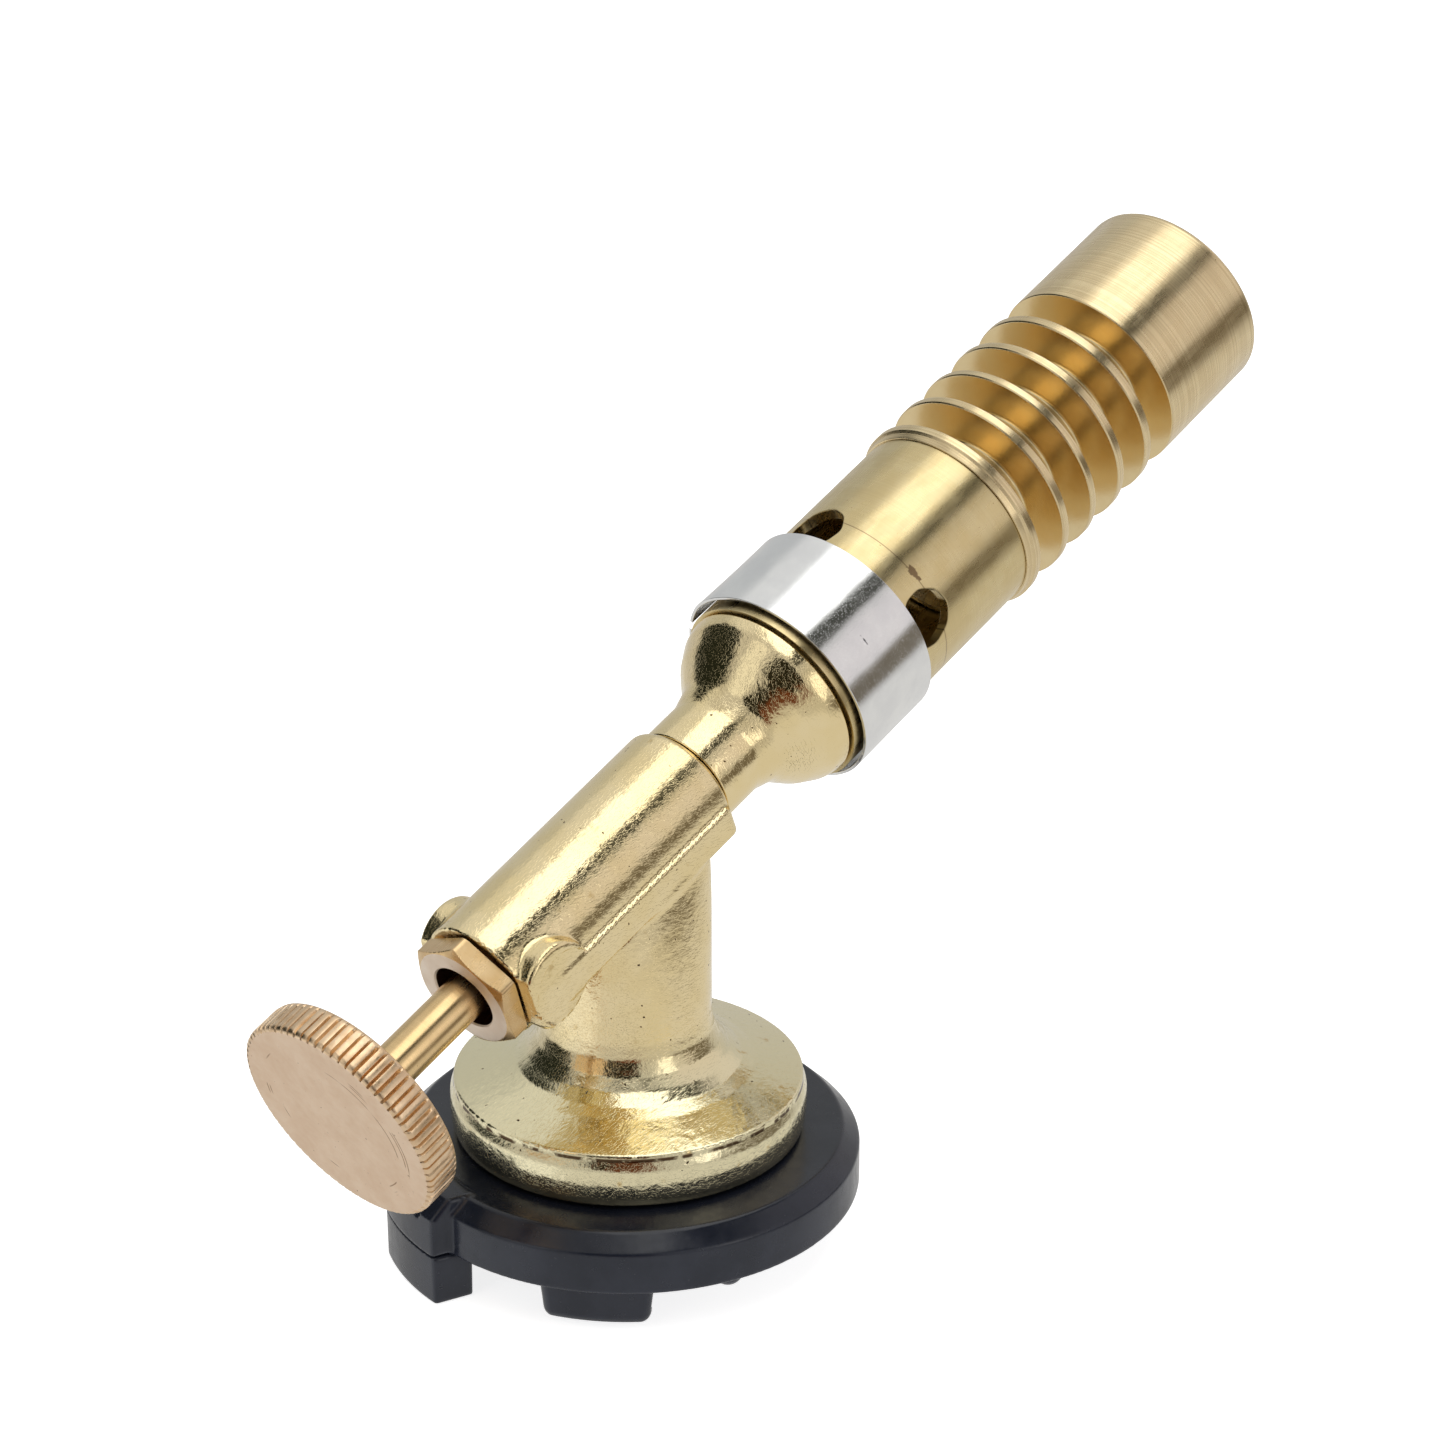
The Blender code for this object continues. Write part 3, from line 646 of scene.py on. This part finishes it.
def knob_face():
    """Matte rose brass, with specks and a few arc-shaped marks left by the lathe."""
    finish = Finish("knob_face", Metallic=1.0, Roughness=0.5)
    tone = finish.ramp(finish.noise(4.0, 5.0), 0.35, 0.66)
    base = finish.mix(tone, (0.82, 0.63, 0.46), (0.87, 0.69, 0.52))
    speck = finish.ramp(finish.noise(0.42, 2.0), 0.715, 0.76)
    base = finish.mix(speck, base, (0.36, 0.22, 0.12))
    # Faint arcs left by the lathe near the rim, broken up where they are polished away.
    flat = vector_math(finish.tree, "MULTIPLY", finish.place, (1.0, 1.0, 0.0))
    reach = vector_math(finish.tree, "LENGTH", flat)
    kept = finish.ramp(finish.noise(5.0, 1.0, turn=(0, 0, 40)), 0.55, 0.60)
    for radius in (8.1, 8.9, 9.25):
        arc = finish.math("MULTIPLY", finish.near(reach, radius * MM, 0.00009, 0.00003), kept)
        base = finish.mix(arc, base, (0.42, 0.27, 0.16))
    finish.colour(base)
    finish.rough(finish.ramp(finish.noise(0.8, 5.0), 0.3, 0.7, 0.46, 0.6))
    finish.bump(finish.noise(0.12, 2.0), 0.006)
    return finish.material


def knob_edge():
    finish = Finish("knob_edge", Metallic=1.0, Roughness=0.3)
    tone = finish.ramp(finish.noise(1.5, 4.0), 0.35, 0.66)
    finish.colour(finish.mix(tone, (0.83, 0.63, 0.42), (0.76, 0.54, 0.33)))
    finish.rough(finish.ramp(finish.noise(0.8, 5.0), 0.3, 0.7, 0.26, 0.42))
    finish.bump(finish.noise(0.25, 3.0), 0.012)
    return finish.material


def band_metal():
    """Rolled bright sheet with faint rolling lines and handling scratches."""
    finish = Finish("band_metal", Metallic=1.0, Roughness=0.2, Anisotropic=0.4, Anisotropic_Rotation=0.25)
    finish.brushed_round()
    tone = finish.ramp(finish.noise(4.0, 4.0), 0.35, 0.66)
    rolled = finish.mix(tone, (0.86, 0.86, 0.85), (0.80, 0.80, 0.80))
    finish.rough(finish.ramp(finish.noise(1.0, 5.0, (1.0, 1.0, 3.0)), 0.3, 0.7, 0.10, 0.19))
    scratch = finish.spot((-5.87, -9.77, 29.4), (0.75, 0.45, 0.10))
    finish.colour(finish.mix(scratch, rolled, (0.20, 0.20, 0.21)))
    finish.bump(finish.noise(0.14, 2.0, (80.0, 80.0, 1.0)), 0.002)
    finish.bump(scratches(finish, 0.12, 14.0, 0.66), 0.003)
    finish.bump(finish.noise(5.0, 1.0), 0.05)
    return finish.material


def black_plastic():
    """Moulded plastic, slightly worn: soft sheen, fine texture and rubbed streaks."""
    finish = Finish("black_plastic", Roughness=0.25, IOR=1.5, Specular_IOR_Level=0.42)
    tone = finish.ramp(finish.noise(6.0, 4.0), 0.35, 0.66)
    base = finish.mix(tone, (0.010, 0.0125, 0.021), (0.016, 0.019, 0.030))
    dust = finish.ramp(finish.noise(0.5, 3.0), 0.7, 0.8)
    finish.colour(finish.mix(dust, base, (0.04, 0.042, 0.05)))
    finish.rough(finish.ramp(finish.noise(1.6, 5.0), 0.3, 0.7, 0.15, 0.28))
    finish.bump(finish.noise(0.35, 3.0), 0.004)
    finish.bump(finish.noise(4.0, 2.0), 0.05)
    return finish.material


def plain(name, colour, metallic, roughness, grain=0.4, depth=0.005):
    """A small or hidden piece's finish: one colour with fine grain."""
    finish = Finish(name, Metallic=metallic, Roughness=roughness)
    darker = tuple(0.75 * c for c in colour)
    finish.colour(finish.mix(finish.ramp(finish.noise(grain, 4.0), 0.35, 0.65), colour, darker))
    finish.rough(finish.ramp(finish.noise(grain * 2.0, 4.0), 0.3, 0.7, roughness - 0.05, roughness + 0.08))
    finish.bump(finish.noise(grain * 0.5, 2.0), depth)
    return finish.material


# Pieces


def cast_body(finish):
    points, quads = field_mesh(body_field(), (-27.0, -19.5, 5.5), (19.5, 19.5, 52.0), 0.24)
    add_piece("body_casting", points, quads, WORLD, "valve_body", [finish])


def base_pieces(finish):
    points, quads = field_mesh(cover_field(), (-27.0, -25.0, -0.6), (25.0, 25.0, 7.2), 0.22)
    add_piece("base_moulding", points, quads, WORLD, "base_cover", [finish])
    points, quads = field_mesh(plate_field(), (-27.0, -25.0, -6.2), (25.0, 25.0, 3.7), 0.22)
    add_piece("claw_moulding", points, quads, WORLD, "claw_plate", [finish])


def bell(finish):
    shoulder = 23.45
    turned("bell", [
        (4.6, 2.6), (4.6, 4.3), (9.25, 4.3), (9.25, 5.84, 0.2), (14.6, 5.84, 2.6), (17.2, 6.6, 3.0),
        (19.8, 8.95, 4.0), (21.9, 10.15, 2.5), (shoulder, 10.5, 0.15), (shoulder, 9.3), (27.0, 9.3),
        (27.0, 8.5), (23.0, 8.0), (18.5, 5.0, 2.0), (14.5, 3.8), (14.5, 2.6),
    ], TUBE, "mixer_bell", [finish])


def holed_tube(finish):
    """The air tube, a quarter for each hole: from its edges to the hole, through the wall and back inside."""
    start, _, radius = span("air_tube")
    edge_round, support = 0.09, 0.16
    half_width = radius * math.pi / 4.0
    turns = 2.0 * np.pi * np.arange(288) / 288
    for end in (TUBE_END, start):
        corner = math.atan2(end - AIR_HOLE_PLACE, half_width)
        for turn in (corner % (2.0 * math.pi), math.pi - corner):
            turns[np.argmin(np.abs(turns - turn))] = turn
    upward, sideways = np.sin(turns), np.cos(turns)
    room = np.where(upward > 0.0, TUBE_END - AIR_HOLE_PLACE, AIR_HOLE_PLACE - start)
    edge = np.minimum(
        room / np.maximum(np.abs(upward), 1e-9), half_width / np.maximum(np.abs(sideways), 1e-9)
    )
    # Each ring: its share of the way out to the quarter's edges, how far back from the rim, and how deep.
    rings = [(share, support, 0.0) for share in np.linspace(1.0, 0.0, 19)]
    rings += [(0.0, edge_round, 0.0), (0.0, 0.026, 0.026), (0.0, 0.0, edge_round), (0.0, 0.0, support)]
    rings += [(share, back, TUBE_WALL - depth) for share, back, depth in reversed(rings)]
    points, faces = [], []
    for i in range(4):
        aim = math.radians(AIR_HOLE_TURN + 90.0 + 90.0 * i)
        ragged = AIR_HOLE_RADIUS * (1.0 + 0.012 * np.sin(9.0 * turns + i))
        rows = []
        for share, back, depth in rings:
            reach = radius - depth
            rim = np.arcsin((ragged + back) * sideways / reach)
            angles = aim + (1.0 - share) * rim + share * edge * sideways / radius
            places = AIR_HOLE_PLACE + ((1.0 - share) * (ragged + back) + share * edge) * upward
            rows.append(range(len(points), len(points) + len(turns)))
            points.extend(zip(reach * np.cos(angles), reach * np.sin(angles), places))
        faces += skin(rows)[0]
        # The wall's thickness shows at the tube's two ends, but not where two quarters meet.
        at_end = [min(abs(points[p][2] - start), abs(points[p][2] - TUBE_END)) < 1e-6 for p in rows[0]]
        faces += [
            face for k, face in enumerate(skin([rows[0], rows[-1]])[0])
            if at_end[k] and at_end[(k + 1) % len(turns)]
        ]
    # Neighbouring quarters share the points of their common edge.
    _, kept, index = np.unique(np.round(points, 4), axis=0, return_index=True, return_inverse=True)
    faces = index.reshape(-1)[np.array(faces)]
    add_piece("mixing_tube", np.array(points)[kept], faces, TUBE, "air_tube", [finish])


def nozzle(finish, groove):
    start, end, _ = span("burner_nozzle")
    fins = ((54.32, 55.45), (59.5, 60.55), (64.55, 65.5), (69.57, 70.64), (74.52, 75.66))
    head, floor, fin, head_radius, bore = 79.77, 6.5, 11.41, 11.32, 9.5
    corners = [(start, 8.7), (start, 9.3), (53.55, 9.3), (53.55, 11.0, 0.1), (54.28, 11.16, 0.12)]
    for low, high in fins:
        if low > fins[0][0]:
            corners += [(low, floor, 0.4), (low, fin - 0.12, 0.1)]
        corners += [(low + 0.14, fin, 0.1), (high - 0.12, fin, 0.1), (high, fin - 0.1, 0.1)]
        corners.append((high, floor, 0.4))
    corners += [(head, floor, 0.4), (head, head_radius - 0.1, 0.12), (head + 0.12, head_radius, 0.1)]
    corners += [(end, head_radius, 0.9), (end, bore, 0.35), (85.1, bore), (85.1, 8.3), (80.6, 5.0)]
    corners += [(56.5, 5.0), (51.0, 8.0)]

    def in_groove(first, second):
        return int(55.0 < first[0] < 80.0 and (first[1] + second[1]) / 2.0 < fin - 0.16)

    def turning_marks(along, reach, angles):
        return 0.012 * np.sin(3.0 * angles + along) if reach > 10.0 else 0.0 * angles

    turned("nozzle", corners, TUBE, "burner_nozzle", [finish, groove], radius=0.1, wobble=turning_marks,
           face_finish=in_groove)


def rolled_band(finish):
    start, end, radius = span("air_band")
    half_slit = math.degrees(BAND_SLIT_WIDTH / radius) / 2.0
    corner = BAND_SLIT + 90.0
    turns = np.radians(np.linspace(corner + half_slit, corner + 360.0 - half_slit, 240))
    angles, places = np.meshgrid(turns, np.linspace(start, end, 24), indexing="ij")
    # The sheet isn't quite round, and its end nearest the knob is sprung out a little beside the slit.
    beside = np.exp(-((np.angle(np.exp(1j * (angles - np.radians(corner)))) - 0.35) / 0.3) ** 2)
    share = (places - start) / (end - start)
    lift = 0.22 * beside * (1.0 - share) ** 2
    reach = radius - 0.03 + 0.03 * np.sin(3.0 * angles + 0.7) * share + lift
    rows, columns = angles.shape
    faces = [
        (i * columns + k, (i + 1) * columns + k, (i + 1) * columns + k + 1, i * columns + k + 1)
        for i in range(rows - 1) for k in range(columns - 1)
    ]
    points = np.stack([reach * np.cos(angles), reach * np.sin(angles), places], -1).reshape(-1, 3)
    piece = add_piece("rolled_band", points, faces, TUBE, "air_band", [finish], "band")
    wall = piece.modifiers.new("Wall", "SOLIDIFY")
    wall.thickness = BAND_WALL * MM
    wall.offset = -1.0
    wall.use_even_offset = True
    edge = piece.modifiers.new("Edge", "BEVEL")
    edge.width = 0.08 * MM
    edge.segments = 2
    edge.limit_method = "ANGLE"
    edge.angle_limit = math.radians(50.0)
    edge.harden_normals = True


def hexagon_nut(face, flats, bore):
    start, _, _ = span("gland_nut")
    end = -23.0
    segments = 240
    hex_reach = NUT_FLATS / 2.0
    angles = 2.0 * np.pi * np.arange(segments) / segments
    turn = math.radians(NUT_TURN + 90.0)
    within = (angles - turn) % (math.pi / 3.0) - math.pi / 6.0
    flat = np.minimum(hex_reach / np.cos(within), hex_reach / math.cos(math.pi / 6.0) - 0.07)
    inner = [
        (end, 4.6), (-20.0, 4.6), (-20.0, 2.7), (-22.4, 2.7), (-22.4, 3.6), (start + 0.15, 3.65),
        (start, 3.8),
    ]
    outer = [(start, 5.55), (start + 0.06, 5.68)]
    outer += [(start + 0.06 + d, 5.68 + 2.1 * d) for d in np.linspace(0.05, 0.6, 12)]
    outer += [(end - 0.15, 7.2), (end - 0.05, 6.7), (end, 6.4)]
    rings = [(z, np.full(segments, r)) for z, r in inner] + [(z, np.minimum(flat, r)) for z, r in outer]
    rows, points = [], []
    for z, reach in rings:
        rows.append(range(len(points), len(points) + segments))
        points.extend(zip(reach * np.cos(angles), reach * np.sin(angles), np.full(segments, z)))
    faces, owners = skin(rows, closed=True)
    # Rings inside the bore take the third finish, a dark brown that is painted shade; the front ring takes
    # the face finish and the rest take the flats.
    kinds = [2 if k < len(inner) - 2 else 0 if k < len(inner) else 1 for k in owners]
    add_piece("gland_nut_piece", points, faces, TUBE, "gland_nut", [face, flats, bore], face_finish=kinds)


def spindle(finish):
    start, _, radius = span("valve_spindle")
    turned("spindle_rod", [
        (start, 0.0), (start, 1.8), (-39.67, 1.8), (-39.67, radius), (-12.8, radius), (-12.8, 1.7),
        (-11.2, 1.7), (-11.2, radius), (-2.6, radius), (-2.2, 1.6), (0.2, 1.6), (2.2, 0.5), (2.2, 0.0),
    ], TUBE, "valve_spindle", [finish], "spindle", 96)


def knurled_knob(face, edge):
    """A knurled disc. Every tooth differs a little, and burrs stand at the front ends of the teeth."""
    start, end, radius = span("control_knob")
    pitch = 2.0 * math.pi / KNOB_TEETH
    shape = (
        (0.06, 0.03), (0.14, 0.0), (0.40, -0.02), (0.64, 0.0), (0.72, 0.05), (0.84, 0.8), (0.90, 1.0),
        (0.96, 0.75),
    )
    angles, sinks = [], []
    for tooth in range(KNOB_TEETH):
        depth = TOOTH_DEPTH * (1.0 + RNG.uniform(-0.12, 0.12))
        shift = RNG.uniform(-0.05, 0.05)
        for place, sink in shape:
            angles.append((tooth + place + shift) * pitch)
            sinks.append(sink * depth + 0.02 * RNG.uniform())
    angles, sinks = np.array(angles), np.array(sinks)
    count = len(angles)
    burr = 0.12 * RNG.uniform(size=count) * (sinks > 0.2)
    # Each ring: place, radius, share of the teeth's depth and share of the burrs.
    levels = [
        (start, 0.0, 0.0, 0.0), (start, radius - 2.5, 0.0, 0.0), (start, radius - 0.85, 0.0, 0.0),
        (start + 0.04, radius - 0.45, 0.3, 0.0), (start + 0.16, radius - 0.22, 0.75, 0.0),
        (start + 0.34, radius - 0.05, 1.0, 1.0), (start + 0.6, radius, 1.0, 0.0),
        (start + 1.9, radius, 1.0, 0.0), (end - 1.2, radius, 0.96, 0.0),
        (end - 0.62, radius - 0.02, 0.9, 0.0), (end - 0.4, radius - 0.08, 0.45, 0.0),
        (end - 0.16, radius - 0.14, 0.12, 0.0), (end, radius - 0.3, 0.0, 0.0), (end, 2.1, 0.0, 0.0),
        (start + 1.3, 2.0, 0.0, 0.0), (start + 1.3, 0.0, 0.0, 0.0),
    ]
    points, rows = [], []
    for z, reach, share, rough in levels:
        if reach == 0.0:
            rows.append([len(points)] * count)
            points.append((0.0, 0.0, z))
            continue
        rows.append(range(len(points), len(points) + count))
        reaches = reach - sinks * share + burr * rough
        points.extend(zip(reaches * np.cos(angles), reaches * np.sin(angles), np.full(count, z)))
    faces, owners = skin(rows)
    kinds = [0 if k < 3 else 1 for k in owners]
    add_piece("knurled_knob", points, faces, TUBE, "control_knob", [face, edge], "spindle", kinds)


def small_turned_pieces(brass, steel, rubber):
    turned("jet", [
        (6.0, 1.2), (6.0, 2.3), (14.8, 2.3), (14.8, 3.1), (16.2, 3.1), (17.4, 1.4), (17.4, 0.3), (15.6, 0.3),
        (15.2, 1.2),
    ], TUBE, "gas_jet", [brass], segments=64)
    turned("inlet", [
        (-2.4, 0.7), (-2.4, 1.7), (-2.0, 2.1), (0.7, 2.1), (0.7, 5.7), (2.7, 5.7), (3.1, 4.4), (13.2, 4.4),
        (13.2, 3.5), (11.0, 3.5), (11.0, 0.7),
    ], WORLD, "inlet_fitting", [brass], segments=96)
    turned("inlet_washer", [(-0.8, 2.5), (-0.8, 4.6), (-0.4, 4.9), (0.4, 4.9), (0.4, 2.4)], WORLD,
           "inlet_seal", [rubber], segments=96)
    for i, (x, y) in enumerate(screw_places(), 1):
        place = Matrix.Translation((x * MM, y * MM, 0.0))
        turned(f"screw_{i}", [
            (0.9, 0.0), (0.9, 0.45), (0.35, 0.6), (0.3, 1.2), (0.45, 2.2, 0.4), (0.8, 2.75, 0.3), (1.6, 2.75),
            (1.6, 1.3), (10.8, 1.3), (11.2, 0.8), (11.2, 0.0),
        ], place, f"base_screw_{i}", [steel], segments=48)


def carried_over(finishes):
    """CAD pieces whose shape is right as it is get a finer finish."""
    for node, finish in finishes.items():
        obj = frame["nodes"][node]
        obj.data.materials.clear()
        obj.data.materials.append(finish)


# Light, floor and camera


def towards(azimuth, elevation):
    """The direction from the object at this azimuth and elevation, in degrees."""
    a, e = math.radians(azimuth), math.radians(elevation)
    return Vector((math.sin(a) * math.cos(e), -math.cos(a) * math.cos(e), math.sin(e)))


def environment():
    """A pale studio seen by reflection: bright and dark patches over plain walls and a white table."""
    world = bpy.data.worlds.new("studio")
    bpy.context.scene.world = world
    world.use_nodes = True
    tree = world.node_tree
    ray = link_node(tree, "ShaderNodeTexCoord").outputs["Generated"]

    def along(direction):
        return vector_math(tree, "DOT_PRODUCT", ray, direction)

    def painted(base, azimuth, elevation, width, height, softness, colour):
        """A patch painted over what is there already."""
        middle = towards(azimuth, elevation)
        aside = Vector((math.cos(math.radians(azimuth)), math.sin(math.radians(azimuth)), 0.0))
        across = along(aside / math.sin(math.radians(width)))
        up = along(aside.cross(-middle) / math.sin(math.radians(height)))
        flat = link_node(tree, "ShaderNodeCombineXYZ", {"X": across, "Y": up}).outputs[0]
        reach = vector_math(tree, "LENGTH", flat)
        inside = smooth_step(tree, reach, 1.0 - softness, 1.0 + softness, 1.0, 0.0)
        facing = link_node(tree, "ShaderNodeMath", {0: along(middle), 1: 0.0}, operation="GREATER_THAN")
        share = link_node(tree, "ShaderNodeMath", {0: inside, 1: facing.outputs[0]}, operation="MULTIPLY")
        return mix_colours(tree, share.outputs[0], base, colour)

    table = smooth_step(tree, along((0.0, 0.0, 1.0)), -0.36, -0.22, 1.0, 0.0)
    light = mix_colours(tree, table, WALL_COLOUR, TABLE_COLOUR)
    for patch in PATCHES:
        light = painted(light, *patch)
    tree.links.new(light, tree.nodes["Background"].inputs["Color"])


def floor():
    """A pale floor that glows a little, so that it meets a white background. From below it is clear."""
    mesh = bpy.data.meshes.new("floor")
    reach = 12.0
    z = FLOOR_HEIGHT * MM
    corners = [(-reach, -reach, z), (reach, -reach, z), (reach, reach, z), (-reach, reach, z)]
    mesh.from_pydata(corners, [], [(0, 1, 2, 3)])
    material = bpy.data.materials.new("pale_floor")
    material.use_nodes = True
    tree = material.node_tree
    shader = tree.nodes["Principled BSDF"]
    shader.inputs["Base Color"].default_value = (0.93, 0.93, 0.93, 1.0)
    shader.inputs["Roughness"].default_value = 0.9
    shader.inputs["Emission Color"].default_value = (1.0, 1.0, 1.0, 1.0)
    shader.inputs["Emission Strength"].default_value = 0.8
    from_below = link_node(tree, "ShaderNodeNewGeometry").outputs["Backfacing"]
    clear = link_node(tree, "ShaderNodeBsdfTransparent").outputs[0]
    either = link_node(tree, "ShaderNodeMixShader", {0: from_below, 1: shader.outputs[0], 2: clear})
    tree.links.new(either.outputs[0], tree.nodes["Material Output"].inputs["Surface"])
    mesh.materials.append(material)
    obj = bpy.data.objects.new("floor", mesh)
    bpy.context.scene.collection.objects.link(obj)
    obj.visible_glossy = False


def camera():
    back = towards(CAMERA_AZIMUTH, CAMERA_ELEVATION)
    data = bpy.data.cameras.new("camera")
    data.lens = CAMERA_LENS
    data.sensor_width = 36.0
    data.clip_start, data.clip_end = 0.01, 50.0
    obj = bpy.data.objects.new("camera", data)
    obj.location = (Vector(CAMERA_TARGET) + back * CAMERA_DISTANCE) * MM
    obj.rotation_mode = "QUATERNION"
    obj.rotation_quaternion = (-back).to_track_quat("-Z", "Y")
    bpy.context.scene.collection.objects.link(obj)
    bpy.context.scene.camera = obj


def main():
    gold = plating("plated_gold", 0.09, 0.19, 0.06, 0.046, has_flange=True)
    plastic = black_plastic()
    brass = plain("plain_brass", (0.75, 0.58, 0.28), 1.0, 0.3)
    steel = plain("screw_steel", (0.60, 0.60, 0.61), 1.0, 0.32)
    rubber = plain("rubber", (0.02, 0.02, 0.02), 0.0, 0.6)
    cast_body(gold)
    bell(plating("bell_gold", 0.04, 0.09, 0.045, 0.031))
    holed_tube(tube_brass())
    nozzle(nozzle_brass(), groove_brass())
    rolled_band(band_metal())
    # The nut's bore gets a dark brown finish that paints the shade inside it.
    hexagon_nut(nut_face(), nut_brass(), plain("nut_bore_shade", (0.16, 0.08, 0.05), 1.0, 0.4))
    spindle(spindle_brass())
    knurled_knob(knob_face(), knob_edge())
    base_pieces(plastic)
    small_turned_pieces(brass, steel, rubber)
    carried_over({
        "flame_holder": plain("holder_brass", (0.50, 0.36, 0.18), 1.0, 0.4),
        "gland_packing": plain("packing", (0.82, 0.82, 0.78), 0.0, 0.5),
        "spindle_o_ring": rubber,
        "inlet_filter": plain("filter_mesh", (0.55, 0.45, 0.28), 1.0, 0.6, 0.2, 0.05),
    })
    environment()
    floor()
    camera()
    bpy.context.scene.view_settings.view_transform = "Standard"


main()
